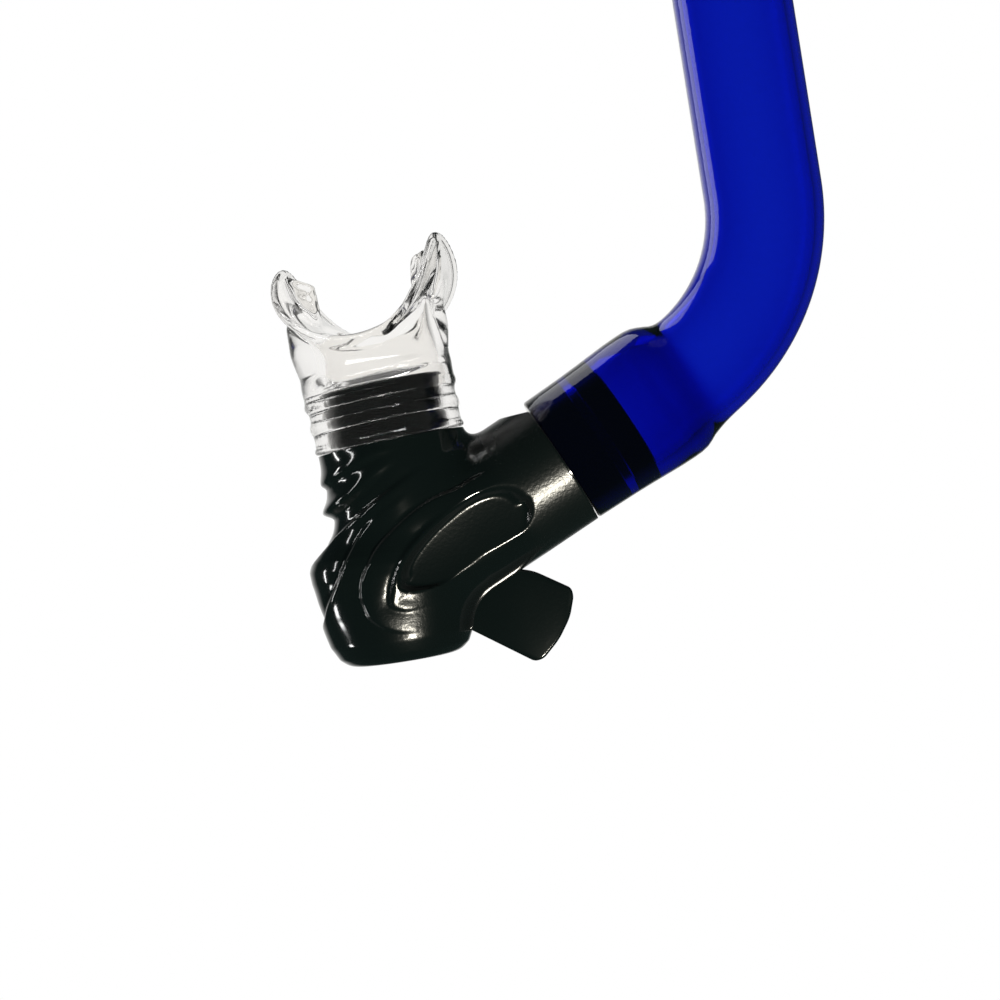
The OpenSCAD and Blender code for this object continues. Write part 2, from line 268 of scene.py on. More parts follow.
def skin(field, low, high, pitch):
    """A closed mesh where a field is zero: one point in each cell of a grid that the skin crosses."""
    axes = [np.arange(a, b, pitch) for a, b in zip(low, high)]
    grid = np.stack(np.meshgrid(*axes, indexing="ij"), -1)
    inside = (field(grid.reshape(-1, 3)) < 0).reshape(grid.shape[:3])
    n = np.array(inside.shape) - 1
    corners = sum(inside[i:n[0] + i, j:n[1] + j, k:n[2] + k].astype(int)
                  for i in (0, 1) for j in (0, 1) for k in (0, 1))
    crossed = (corners > 0) & (corners < 8)
    number = np.full(crossed.shape, -1)
    number[crossed] = np.arange(crossed.sum())
    points = grid[:-1, :-1, :-1][crossed] + pitch / 2
    faces = []
    for a in range(3):
        b, c = np.eye(3, dtype=int)[[(a + 1) % 3, (a + 2) % 3]]
        one = np.arange(n[a])
        lower = inside.take(one, a)
        upper = inside.take(one + 1, a)
        for side in (True, False):
            at = np.argwhere((lower == side) & (upper != side))
            ring = [number[tuple((at - d).T)] for d in (b + c, c, 0 * c, b)]
            faces.append(np.stack(ring if side else ring[::-1], 1))
    mesh = bpy.data.meshes.new("skin")
    mesh.from_pydata(points.tolist(), [], np.concatenate(faces).tolist())
    return link_mesh(mesh)


FLAT_AREA = 30.0        # square millimetres; a face as big as this is a flat one, and is shaded flat


def finish_piece(obj, name, body, material, nodes, sharp=32):
    """Names a piece, brings it to metres and gives it a body, material and the nodes it stands for."""
    obj.name = name
    obj.data.name = name
    for poly in obj.data.polygons:
        poly.use_smooth = poly.area < FLAT_AREA
    obj.data.transform(Matrix.Scale(MM, 4))
    obj.data.set_sharp_from_angle(angle=math.radians(sharp))
    obj.data.materials.clear()
    obj.data.materials.append(material)
    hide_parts(*nodes)
    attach(obj, body)
    return obj


# ---------- fields: negative inside ----------

def local(p, place):
    m = np.array(place.inverted())
    return p @ m[:3, :3].T + m[:3, 3]


def join(a, b, k):
    """Both shapes, with a fillet of about k."""
    h = np.clip(0.5 + 0.5 * (b - a) / k, 0, 1)
    return b + (a - b) * h - k * h * (1 - h)


def trim(a, b, k):
    """What is in both shapes, with a rounded edge of about k."""
    return -join(-a, -b, k)


def ease(t):
    t = np.clip(t, 0, 1)
    return t * t * (3 - 2 * t)


def curve(points, per=10):
    """A smooth line through the points."""
    p = np.array(points, float)
    e = np.vstack([2 * p[0] - p[1], p, 2 * p[-1] - p[-2]])
    out = []
    for i in range(len(p) - 1):
        a, b, c, d = e[i:i + 4]
        for t in np.arange(per) / per:
            square = (2 * a - 5 * b + 4 * c - d) * t ** 2
            cube = (3 * b - a - 3 * c + d) * t ** 3
            out.append(0.5 * (2 * b + (c - a) * t + square + cube))
    out.append(p[-1])
    return np.array(out)


def beside(xz, line):
    """Distance from a line, positive on its left, and how far along it that is, from 0 to 1."""
    best = np.full(len(xz), 1e9)
    signed = np.zeros(len(xz))
    along = np.zeros(len(xz))
    for i, (a, b) in enumerate(zip(line, line[1:])):
        ab = b - a
        ap = xz - a
        t = np.clip(ap @ ab / (ab @ ab), 0, 1)
        d = np.hypot(*(ap - t[:, None] * ab).T)
        near = d < best
        best[near] = d[near]
        left = ab[0] * ap[near, 1] - ab[1] * ap[near, 0] >= 0
        signed[near] = np.where(left, d[near], -d[near])
        along[near] = (i + t[near]) / (len(line) - 1)
    return signed, along


def fold(xz, points, lip, sink, sharp, wide, start=0.25, end=0.0, side=1):
    """Relief of one fold: a gentle fall to the line, then a quick rise to a lip that fades over a width."""
    d, s = beside(xz, curve(points))
    d = d * side
    keep = ease(s / start)
    if end:
        keep = keep * ease((1 - s) / end)
    up = lip * ease(d / sharp) * np.exp(-(np.maximum(d - sharp, 0) / wide) ** 2)
    down = -sink * np.where(d > 0, 1 - ease(d / sharp), np.exp(d / (0.7 * wide)))
    return keep * (up + down)


# ---------- materials ----------

class Value:
    """A socket of a material. Arithmetic on it adds Math nodes."""

    def __init__(self, paint, socket):
        self.paint = paint
        self.socket = socket

    def _math(self, operation, *sides):
        return self.paint.node("ShaderNodeMath", {"operation": operation}, dict(enumerate(sides)))

    def __add__(self, other):
        return self._math("ADD", self, other)

    def __radd__(self, other):
        return self._math("ADD", other, self)

    def __mul__(self, other):
        return self._math("MULTIPLY", self, other)

    def __rmul__(self, other):
        return self._math("MULTIPLY", other, self)


class Paint:
    """A node material with one Principled shader, built from Python."""

    def __init__(self, name, **constants):
        self.material = bpy.data.materials.new(name)
        self.material.use_nodes = True
        self.tree = self.material.node_tree
        self.shader = self.tree.nodes["Principled BSDF"]
        for key, value in constants.items():
            self.shader.inputs[key.replace("_", " ")].default_value = value
        self.place = self.node("ShaderNodeTexCoord", output="Object")

    def node(self, kind, settings=None, inputs=None, output=0):
        """Adds a node: its settings first, then the values or links of its sockets."""
        node = self.tree.nodes.new(kind)
        for key, value in (settings or {}).items():
            setattr(node, key, value)
        for key, value in (inputs or {}).items():
            socket = node.inputs[key] if isinstance(key, int) else next(
                s for s in node.inputs if key in (s.identifier, s.name) and s.enabled)
            self.put(socket, value)
        out = node.outputs[output] if isinstance(output, int) else next(
            s for s in node.outputs if output in (s.identifier, s.name))
        return Value(self, out)

    def put(self, socket, value):
        if isinstance(value, Value):
            self.tree.links.new(value.socket, socket)
        else:
            socket.default_value = value

    def set(self, name, value):
        self.put(self.shader.inputs[name], value)

    def noise(self, scale, detail=2.0, stretch=None):
        where = self.place
        if stretch:
            where = self.node("ShaderNodeMapping", {}, {"Vector": where, "Scale": stretch})
        return self.node("ShaderNodeTexNoise", {"noise_dimensions": "3D"},
                         {"Vector": where, "Scale": scale, "Detail": detail, "Roughness": 0.5}, "Fac")

    def attribute(self, name):
        return self.node("ShaderNodeAttribute", {"attribute_name": name}, output="Fac")

    def blend(self, factor, a, b):
        return self.node("ShaderNodeMix", {"data_type": "RGBA"},
                         {"Factor_Float": factor, "A_Color": a, "B_Color": b}, "Result_Color")

    def bump(self, height, distance, strength):
        """Fine relief; the distance is in metres."""
        self.set("Normal", self.node("ShaderNodeBump", {}, {
            "Height": height, "Distance": distance, "Strength": strength}, "Normal"))

    def absorb(self, colour, density):
        """Colours the inside, so that a thick place looks deeper than a thin one."""
        depth = self.node("ShaderNodeVolumeAbsorption", {}, {"Color": colour, "Density": density}, "Volume")
        self.put(self.tree.nodes["Material Output"].inputs["Volume"], depth)


def clear_silicone():
    m = Paint("clear silicone", Transmission_Weight=1.0, IOR=1.35)
    cloud = m.noise(90.0, 3.0)
    m.set("Base Color", m.blend(cloud, (0.955, 0.945, 0.925, 1), (0.925, 0.91, 0.885, 1)))
    m.set("Roughness", 0.05 + 0.08 * m.noise(260.0))
    m.bump(m.noise(150.0), 0.00014, 0.5)
    return m.material


def glossy_black():
    m = Paint("glossy black plastic", IOR=1.5)
    grain = m.attribute("grain")
    cloud = m.noise(70.0, 3.0)
    m.set("Base Color", m.blend(cloud, (0.0022, 0.0046, 0.0046, 1), (0.0034, 0.0058, 0.0055, 1)))
    m.set("Roughness", 0.07 + 0.05 * cloud + 0.18 * grain)
    m.bump(m.noise(1400.0, 3.0) * (0.06 + grain) + m.noise(55.0) * 0.4, 0.00006, 0.9)
    return m.material


def blue_tube():
    m = Paint("blue tube", Transmission_Weight=1.0, IOR=1.49)
    streak = m.noise(60.0, stretch=(1, 1, 0.08))
    m.set("Base Color", m.blend(streak, (0.22, 0.50, 0.93, 1), (0.32, 0.60, 0.98, 1)))
    m.set("Roughness", 0.02 + 0.05 * streak)
    m.bump(m.noise(45.0, stretch=(1, 1, 0.25)), 0.00012, 0.4)
    m.absorb((0.0, 0.10, 0.80, 1), 950.0)
    return m.material


def satin_black(name, base, low, high, grain):
    m = Paint(name, IOR=1.5)
    cloud = m.noise(120.0, 3.0)
    dark = tuple(0.8 * c for c in base[:3]) + (1,)
    m.set("Base Color", m.blend(cloud, base, dark))
    m.set("Roughness", low + (high - low) * m.noise(300.0))
    m.bump(m.noise(grain, 3.0), 0.00005, 0.7)
    return m.material


def valve_silicone():
    m = Paint("valve silicone", Transmission_Weight=0.6, IOR=1.41)
    cloud = m.noise(150.0, 3.0)
    m.set("Base Color", m.blend(cloud, (0.86, 0.88, 0.89, 1), (0.78, 0.80, 0.82, 1)))
    m.set("Roughness", 0.25 + 0.15 * cloud)
    m.bump(m.noise(400.0), 0.00005, 0.5)
    return m.material


def signal_orange():
    m = Paint("signal orange", IOR=1.5)
    cloud = m.noise(80.0, 3.0)
    m.set("Base Color", m.blend(cloud, (0.95, 0.16, 0.012, 1), (0.86, 0.12, 0.010, 1)))
    m.set("Roughness", 0.32 + 0.16 * m.noise(200.0))
    m.bump(m.noise(900.0), 0.00004, 0.6)
    return m.material


SILICONE = clear_silicone()
BLACK = glossy_black()
BLUE = blue_tube()
INSERT = satin_black("valve insert black", (0.012, 0.012, 0.013, 1), 0.28, 0.42, 1300.0)
RUBBER = satin_black("sleeve rubber", (0.018, 0.018, 0.018, 1), 0.55, 0.72, 1700.0)
CLIP = satin_black("clip black", (0.010, 0.010, 0.011, 1), 0.2, 0.34, 1100.0)


# ---------- tube ----------

arm_end = SOCKET @ Vector((0, 0, ARM_RUN))
bend_z = arm_end.z + BEND_R * math.sin(math.radians(BEND_ANGLE))
BEND_STEPS = 40
BEND = [BEND_ANGLE * (1 - i / BEND_STEPS) for i in range(1, BEND_STEPS + 1)]
RUN_STEPS = 14

# The socket's outside and its bore, as (height, radius) from the shoulder of the arm. The bore runs down.
SOCKET_SKIN = [(0.3, 13.9), (0.42, 14.25), (0.75, 14.45), (4, 14.52), (10, 14.65), (14, 14.82), (18, 15.05),
               (21, 15.2), (24, 15.25), (26, 15.2), (27.6, 14.95), (28.8, 14.5), (ARM_RUN, 13.75)]
SOCKET_BORE = [(ARM_RUN, TUBE_BORE_R), (28.6, 10.55), (25.4, 12.05), (17.2, 12.05), (16.8, GRIP_R),
               (10.9, GRIP_R), (10.7, 11.25), (8.9, 11.25), (8.7, GRIP_R), (0.7, GRIP_R), (0.42, 12.2),
               (0.3, 12.5)]
# How the bend narrows behind the socket, as (degrees left to turn, radius).
FLARE = [(65, 13.75), (62.7, 13.1), (60.4, 12.72), (58, 12.56), (54, TUBE_R)]
# The rounded top edge, as (height, radius) from the top.
TUBE_RIM = [(-1.2, TUBE_R), (-0.5, 12.47), (-0.12, 12.25), (0, 11.9), (0, 11.1), (-0.12, 10.75),
            (-0.5, 10.53), (-1.2, TUBE_BORE_R)]


def bend_station(angle):
    """The frame on the middle of the bend, from the straight run at 0 to the socket at the bend's angle."""
    a = math.radians(angle)
    middle = Vector((tube_x - BEND_R, 0, bend_z))
    out = Vector((math.cos(a), 0, -math.sin(a)))
    return looking_along(middle + BEND_R * out, (math.sin(a), 0, math.cos(a)))


def build_tube():
    flare = curve(FLARE)
    run = [bend_z + (tube_top - bend_z) * i / RUN_STEPS for i in range(1, RUN_STEPS)]
    outside = [(SOCKET @ shift(z=t), r) for t, r in SOCKET_SKIN]
    outside += [(bend_station(a), float(np.interp(-a, -flare[:, 0], flare[:, 1]))) for a in BEND]
    outside += [(shift(tube_x, 0, z), TUBE_R) for z in run]
    rim = [(shift(tube_x, 0, tube_top + dz), r) for dz, r in TUBE_RIM]
    inside = [(shift(tube_x, 0, z), TUBE_BORE_R) for z in reversed(run)]
    inside += [(bend_station(a), TUBE_BORE_R) for a in reversed(BEND)]
    inside += [(SOCKET @ shift(z=t), r) for t, r in SOCKET_BORE]
    obj = to_object(pipe(outside + rim + inside))
    return finish_piece(obj, "tube_shell", "tube_body", BLUE, ["tube"], sharp=50)


# ---------- lower chamber ----------

BODY_R = 15.5
ARM_R = 14.5
BOWL_HEIGHTS = [0, 1.7, 4.6, 10, 14.2, 18.4, 20.8, 22.7, 24.5, 27, 31, 36]
BOWL_RADII = [11.8, 13.8, 15.2, 16.1, 16.7, 17.0, 16.8, 16.0, 14.6, 12.2, 7.0, 1.0]
CHAMBER_TOP = -0.3      # where the body ends under the cuff, from the cuff's rim
CHAMBER_VOXEL = 0.40


def body_field(p):
    """The barrel, the arm and the bowl, flowing into each other."""
    up = local(p, MOUTH)
    barrel = trim(np.hypot(up[:, 0], up[:, 1]) - BODY_R, -up[:, 2] - 50, 3)
    arm = local(p, ARM)
    arm = trim(np.hypot(arm[:, 0], arm[:, 1]) - ARM_R, -arm[:, 2] - 1, 4)
    low = local(p, BOWL)
    bowl = 0.93 * (np.hypot(low[:, 0], low[:, 1]) - np.interp(low[:, 2], BOWL_HEIGHTS, BOWL_RADII))
    f = join(join(barrel, arm, 4.5), bowl, 4.0)
    return trim(f, -low[:, 2], 1.0)


# Folds of the chamber, as lines in the plane of the bend measured from the junction. Each runs from the tube
# side down to the far side, with the medallion on its left.
FOLD_TOP = [(1, 22.6), (-4, 21.6), (-8, 20.4), (-12, 18.9), (-16, 17.3), (-20, 15.6)]
FOLD_NECK = [(1.5, 20.6), (-2, 18.9), (-6, 16.2), (-10.5, 13.4), (-15.5, 10.9), (-20, 9)]
FOLD_SHOULDER = [(7.5, 20.2), (1, 17.2), (-4.3, 14.4), (-9.3, 11.5), (-14.7, 8.2), (-17.1, 6.2), (-22, 2)]
FOLD_FLANK = [(4.5, 16.4), (-3.1, 12.1), (-9, 8.2), (-13.5, 2.7), (-16.8, -2.5), (-19.5, -6.5), (-21, -9.6),
              (-24, -15)]
FOLD_OUTER = [(20.6, 17.1), (14.6, 15.1), (11.5, 13.7), (6, 12.3), (1.5, 10.2), (-3, 7.2), (-6.8, 4.1),
              (-9.3, 0.8), (-11.3, -2.5), (-11.9, -5.3), (-11.6, -8.2), (-10.6, -10.8), (-8.3, -13),
              (-5.6, -14.3), (-1.6, -14.9), (2.5, -14.6)]
FOLD_INNER = [(11.5, 10.6), (5.2, 7.5), (1.5, 4.9), (-1.3, 2.4), (-3.5, -0.9), (-5.2, -4.3), (-6.1, -7.4),
              (-5.6, -9.1), (-2.5, -10.3), (1.7, -9.9), (6, -8.8)]
# The sunken oval on each side: its middle, its turn in degrees and its half length and half width.
MEDALLION = dict(x=11.0, z=2.35, turn=25.7, long=15.6, wide=6.7)
SIDE_LIMIT = 7.0        # a point nearer to the middle plane than this isn't on a side face
FIN_THICK = 3.0
# The outline of the side fin, like the folds.
FIN = [(4, -4), (16, -4), (24.3, -6.4), (31.6, -11.2), (31.8, -13), (30.4, -17.2), (27.4, -21.5), (23.6, -25),
       (21.6, -25.3), (9.6, -16.8), (4, -13)]

# The spigot in the cuff and the one in the socket, as (radius, height), with a groove for each bead.
SPIGOT_R = 12.8
SPIGOT_GROOVE_R = 12.2
MOUTH_SPIGOT = [(9, -2), (SPIGOT_R, -2), (SPIGOT_R, 4.35), (SPIGOT_GROOVE_R, 4.5), (SPIGOT_GROOVE_R, 6.3),
                (SPIGOT_R, 6.45), (SPIGOT_R, 9.2), (SPIGOT_GROOVE_R, 9.35), (SPIGOT_GROOVE_R, 10.65),
                (SPIGOT_R, 10.8), (SPIGOT_R, 11.7), (12.4, 12.1), (9, 12.1)]
SNAP_R = 12.0
SNAP_GROOVE_R = 11.2
ARM_SPIGOT = [(8, -2), (SNAP_R, -2), (SNAP_R, 8.7), (SNAP_GROOVE_R, 8.8), (SNAP_GROOVE_R, 10.8),
              (SNAP_R, 10.9), (SNAP_R, 16.1), (11.6, 16.5), (8, 16.5)]
# What is hollow, as (radius, height): down the barrel, along the arm and inside the bowl.
BARREL_BORE = [(0, -47.4), (10.7, -47.4), (10.7, -10.6), (11.1, -9.6), (0, -9.6)]
ARM_BORE = [(0, 0), (9.8, 0), (9.8, ARM_LENGTH + 15.9), (10.4, ARM_LENGTH + 17), (0, ARM_LENGTH + 17)]
BOWL_ROOM = [(0, -1), (11.2, -1), (11.2, 7.2), (9.5, 7.2), (9.5, 8.8), (13.6, 12.4), (13.9, 19), (9, 26),
             (0, 29)]


def relief(xz):
    h = fold(xz, FOLD_TOP, 0.8, 0.25, 1.0, 2.2, start=0.35, side=-1)
    h += fold(xz, FOLD_NECK, 1.7, 0.35, 1.5, 2.0, start=0.8, side=-1)
    h += fold(xz, FOLD_SHOULDER, 0.55, 0.55, 0.8, 3.5, start=0.35)
    h += fold(xz, FOLD_FLANK, 0.45, 0.6, 0.8, 3.0, start=0.5)
    h += fold(xz, FOLD_OUTER, 0.5, 0.55, 0.8, 3.0, start=0.12, end=0.3)
    h += fold(xz, FOLD_INNER, 0.4, 0.5, 0.8, 2.0, start=0.2, end=0.45)
    return h


def from_junction(p):
    """Points in the plane of the bend, measured from the junction."""
    return p[:, [0, 2]] - np.array([junction.x, junction.z])


def medallion_place(xz):
    """Along and across the medallion, and how far out a point is: 1 on its rim."""
    a = math.radians(MEDALLION["turn"])
    x = xz[:, 0] - MEDALLION["x"]
    z = xz[:, 1] - MEDALLION["z"]
    u = x * math.cos(a) + z * math.sin(a)
    v = -x * math.sin(a) + z * math.cos(a)
    wide = MEDALLION["wide"] * (0.95 + 0.25 * u / MEDALLION["long"])
    rho = (np.abs(u / MEDALLION["long"]) ** 2.2 + np.abs(v / wide) ** 2.2) ** (1 / 2.2)
    return u, v, rho


def chamber_blank():
    """Rough solids melted into one skin, then drawn onto the field."""
    bm = bmesh.new()
    rough = [(BODY_R, BODY_R, 34, MOUTH @ shift(z=-35)),
             (ARM_R, ARM_R, 42, ARM @ shift(z=19)),
             (13, 16.5, 12, BOWL @ shift(z=6)),
             (16.5, 16.5, 11, BOWL @ shift(z=17))]
    for foot, head, tall, place in rough:
        bmesh.ops.create_cone(bm, cap_ends=True, segments=96, radius1=foot, radius2=head, depth=tall,
                              matrix=place)
    body = remesh(to_object(bm), CHAMBER_VOXEL)
    settle(body, body_field, times=7, reach=1.2)
    return body


def press_shapes(body):
    """Raises the folds from the skin and sinks the medallion into both sides."""
    p = points_of(body)
    _, g = slopes(body_field, p)
    g /= np.linalg.norm(g, axis=1)[:, None]
    above_floor = ease(local(p, BOWL)[:, 2] / 2.5)
    below_cuff = ease((CHAMBER_TOP - local(p, CUFF)[:, 2]) / 1.5 + 0.2)
    before_socket = ease((ARM_LENGTH - 2 - local(p, ARM)[:, 2]) / 5)
    p += (relief(from_junction(p)) * (above_floor * below_cuff * before_socket))[:, None] * g
    u, v, rho = medallion_place(from_junction(p))
    floor = 13.0 - 0.075 * u - 0.5 * np.clip(1 - rho ** 2, 0, 1)
    mask = ease((1.04 - rho) * np.where(v > 0, 4.0, 9.0)) * (np.abs(p[:, 1]) > SIDE_LIMIT)
    depth = np.abs(p[:, 1])
    p[:, 1] = np.sign(p[:, 1]) * (depth * (1 - mask) + np.minimum(depth, floor) * mask)
    set_points(body, p)
    relax(body, 0.4, 2)


def cut_ends(body):
    """Cuts the skin flat under the cuff and at the shoulder of the arm, and caps it with a soft edge."""
    bm = bmesh.new()
    bm.from_mesh(body.data)
    for place, height in ((CUFF, CHAMBER_TOP), (ARM, ARM_LENGTH)):
        z = place.to_3x3() @ Vector((0, 0, 1))
        bmesh.ops.bisect_plane(bm, geom=bm.verts[:] + bm.edges[:] + bm.faces[:], dist=1e-4,
                               plane_co=place @ Vector((0, 0, height)), plane_no=z, clear_outer=True)
        cap = bmesh.ops.edgeloop_fill(bm, edges=[e for e in bm.edges if e.is_boundary])["faces"]
        bevel_edges(bm, list(dict.fromkeys(e for f in cap for e in f.edges)), 0.25, 2)
    bmesh.ops.recalc_face_normals(bm, faces=bm.faces)
    bm.to_mesh(body.data)
    bm.free()


def mark_grain(body):
    """Says where the black plastic is grained: the arm, the floor of the medallion and a patch below it."""
    p = points_of(body)
    xz = from_junction(p)
    rho = medallion_place(xz)[2]
    far = local(p, ARM)
    skin_only = np.hypot(far[:, 0], far[:, 1]) > 13.5
    on_arm = ease((far[:, 2] - 20) / 6) * skin_only * ease((ARM_LENGTH + 0.2 - far[:, 2]) / 0.5)
    on_floor = 0.55 * ease((1.0 - rho) * 6) * (np.abs(p[:, 1]) > SIDE_LIMIT)
    patch = 1.1 * np.exp(-((xz[:, 0] + 2.7) ** 2 + (xz[:, 1] + 11.5) ** 2) / 6.5 ** 2)
    grain = np.maximum(np.maximum(on_arm, on_floor), patch)
    attribute = body.data.attributes.new("grain", "FLOAT", "POINT")
    attribute.data.foreach_set("value", grain.astype(np.float32))


def build_chamber():
    body = chamber_blank()
    press_shapes(body)
    cut_ends(body)
    boolean(body, plate(rounded(FIN, 1.6), FIN_THICK, shift(*junction), bevel=0.55), "UNION")
    boolean(body, lathe(MOUTH_SPIGOT, CUFF), "UNION")
    boolean(body, lathe(ARM_SPIGOT, SOCKET), "UNION")
    for profile, place in ((BARREL_BORE, MOUTH), (ARM_BORE, ARM), (BOWL_ROOM, BOWL)):
        boolean(body, lathe(profile, place, closed=False), "DIFFERENCE")
    mark_grain(body)
    return finish_piece(body, "chamber_shell", "chamber", BLACK, ["chamber_body"], sharp=38)


# ---------- mouthpiece ----------

CUFF_R = 15.6
CUFF_BORE = 12.85
CUFF_TOP = 14.5
CUFF_ROOM = 12.4        # how far up the spigot's room goes
RIBS = [(0.6, 1.2), (5.4, 2.1), (10.0, 1.6)]        # (height, width)
RIB_OUT = 0.44
THROAT_R = 15.4
ARCH_R = 18.2           # the flange lies on an arch across the lips
ARCH_Z = 16.7
FLANGE = 1.5
FLANGE_REACH = 13.35
FLANGE_TOP = 19.2
FLANGE_SHIFT = 1.8
TAB_HALF = 1.2
STUD_COLUMNS = (3.2, 5.0)
STUD_ROWS = 5
STUD_PITCH = 2.3
STUD_R = 0.75
AIRWAY_FLAT = 5.0
AIRWAY_R = 6.5
SKIN_PITCH = 0.38


def cuff_field(c):
    """The ribbed cuff."""
    r = np.full(len(c), CUFF_R)
    for at, wide in RIBS:
        r += RIB_OUT * np.sqrt(np.clip(1 - ((c[:, 2] - at) / (wide / 2 + 0.1)) ** 2, 0, 1))
    return trim(trim(np.hypot(c[:, 0], c[:, 1]) - r, -c[:, 2], 0.4), c[:, 2] - CUFF_TOP, 1.5)


def throat_field(q, rho):
    """The throat, round above the cuff and flatter towards the lips."""
    z = q[:, 2]
    t = ease((z + 10.5) / 11.5)
    across = THROAT_R + 2.1 * t
    deep = THROAT_R - 3.4 * t - 0.75 * np.clip(z, 0, 9)
    f = (np.hypot(q[:, 0] / across, q[:, 1] / deep) - 1) * deep
    f = trim(trim(f, ARCH_R - 0.9 - rho, 0.8), -z - 12, 1.0)
    return trim(f, z - 8.5, 3.0)


def flange_field(y, z, rho):
    """The lip flange: a sheet on the arch with a bead along its edge, narrower towards its tips."""
    high = np.maximum(z - 5.2, 0)
    outline = np.hypot(y / (1 - 0.3 * np.clip(high / 14, 0, 1) ** 2), high) - FLANGE_REACH
    bead = 0.3 * np.exp(-((outline + 0.85) / 0.75) ** 2)
    sheet = trim(np.abs(rho - (ARCH_R - FLANGE / 2)) - (0.62 + bead), outline, 0.8)
    return trim(sheet, z - FLANGE_TOP, 0.8)


def tab_field(side, y, z, rho):
    """The bite tabs: each is a studded blade with a slanted end, and a ridge along its inner edge."""
    x = np.abs(side)
    climb = np.maximum(z, 0)
    end = 0.87 * (z - (12.4 + 0.57 * (x - 9)))
    edge = x - np.where(side > 0, 8.3 + 0.24 * climb, 7.5 + 0.14 * climb)
    studs = 0
    for column in STUD_COLUMNS:
        for row in range(STUD_ROWS):
            up = z - 2.2 - STUD_PITCH * row - 0.5 * (column - STUD_COLUMNS[0])
            studs = studs + 0.5 * np.exp(-((edge - column) ** 2 + up ** 2) / STUD_R ** 2)
    lip = 0.35 * np.exp(-((np.minimum(edge, -end) - 0.5) / 0.5) ** 2)
    blade = trim(y - TAB_HALF - studs - lip, -edge, 0.8)
    ridge = trim(y - 3.6, np.abs(edge - 0.9) - 0.8, 0.7)
    inside = rho - (ARCH_R - FLANGE)
    blade, ridge = (trim(trim(part, end, 0.7), inside, 0.5) for part in (blade, ridge))
    return join(blade, ridge, 0.9)


def hollow_field(c, x, y):
    """The room for the spigot, with a bead for each of its grooves, and the oval airway above it."""
    round_ = np.hypot(c[:, 0], c[:, 1])
    room = trim(round_ - CUFF_BORE, c[:, 2] - CUFF_ROOM, 0.4)
    for at, wide in RIBS[1:]:
        bead = trim(CUFF_BORE - 0.6 - round_, np.abs(c[:, 2] - at) - (wide - 0.3) / 2, 0.15)
        room = trim(room, -bead, 0.15)
    airway = np.hypot(np.maximum(x - AIRWAY_FLAT, 0), y) - AIRWAY_R
    airway = trim(airway, 11 - c[:, 2], 0.4)
    return join(room, airway, 4.0)


def mouthpiece_field(p):
    c = local(p, CUFF)
    q = local(p, BITE)
    side = q[:, 0] - FLANGE_SHIFT
    y = np.abs(q[:, 1])
    z = q[:, 2]
    rho = np.hypot(side, z - ARCH_Z)
    f = join(join(throat_field(q, rho), flange_field(y, z, rho), 3.4), cuff_field(c), 2.2)
    f = join(f, tab_field(side, y, z, rho), 1.0)
    return trim(f, -hollow_field(c, np.abs(side), y), 0.7)


def build_mouthpiece():
    low, high = box_mm("mouthpiece")
    obj = skin(mouthpiece_field, np.array(low) - 1, np.array(high) + 1, SKIN_PITCH)
    settle(obj, mouthpiece_field, times=6, reach=0.4)
    relax(obj, 0.5, 4)
    return finish_piece(obj, "bite_mouthpiece", "mouth_body", SILICONE, ["mouthpiece"],
                        sharp=70)


# ---------- purge valve ----------

INSERT_R = 11.15        # outside of the seat and the cover, in the port of the chamber
SPOKES = 4
BAR_PITCH = 4.2
BAR_REACH = 9.6
# The flap as (radius, height): its disc, and the stem up to the bulb, which holds it in the seat.
FLAP_DISC = [(0, 0.05), (5, 0.0), (9.0, 0.12), (9.55, 0.35), (9.6, 0.6), (9.4, 0.88), (6.5, 0.9), (2.1, 0.9),
             (1.5, 1.25), (1.5, 4.8), (2.3, 4.86), (2.5, 5.05), (2.3, 5.6)]


def build_seat():
    low, high = box_mm("purge_seat")
    seat = BOWL @ shift(z=low.z - cover_low.z)
    thick = high.z - low.z
    ring = lathe([(INSERT_R, 0), (INSERT_R, thick), (8.55, thick), (8.55, 0)], seat, steps=96)
    obj = to_object(soften(ring, 0.25, 2))
    hub = lathe([(3.2, 0.1), (3.2, thick - 0.1), (1.55, thick - 0.1), (1.55, 0.1)], seat, steps=48)
    boolean(obj, soften(hub, 0.2, 2), "UNION")
    for k in range(SPOKES):
        at = seat @ Matrix.Rotation(math.radians(45 + 360 / SPOKES * k), 4, "Z")
        spoke = plate(box_outline(2.4, 0.15, 9.6, thick - 0.15), 1.6, at, bevel=0.2, segments=2)
        boolean(obj, spoke, "UNION")
    finish_piece(obj, "valve_seat", "chamber", INSERT, ["purge_seat"])


def build_flap():
    low, high = box_mm("purge_flap")
    flap = BOWL @ shift(z=low.z - cover_low.z)
    top = high.z - low.z
    profile = FLAP_DISC + [(1.2, top - 0.25), (0.7, top), (0, top)]
    obj = to_object(lathe(profile, flap, closed=False, steps=96))
    finish_piece(obj, "valve_flap", "flap", valve_silicone(), ["purge_flap"], sharp=50)


def build_cover():
    tall = cover_high.z - cover_low.z
    skirt = [(INSERT_R, 0), (INSERT_R, tall), (10.05, tall), (10.05, 2.0), (8.6, 2.0), (8.6, 0)]
    obj = to_object(soften(lathe(skirt, BOWL, steps=96), 0.25, 2))
    for k in range(-2, 3):
        half = math.sqrt(BAR_REACH ** 2 - (k * BAR_PITCH) ** 2)
        at = BOWL @ shift(y=BAR_PITCH * k)
        bar = plate(box_outline(-half, 0.1, half, 1.9), 1.5, at, bevel=0.3, segments=2)
        boolean(obj, bar, "UNION")
    across = BOWL @ Matrix.Rotation(math.pi / 2, 4, "Z")
    boolean(obj, plate(box_outline(-9.3, 0.25, 9.3, 1.75), 1.5, across, bevel=0.3, segments=2), "UNION")
    finish_piece(obj, "purge_grille", "chamber", INSERT, ["purge_cover"])


# ---------- strap keeper and signal band ----------

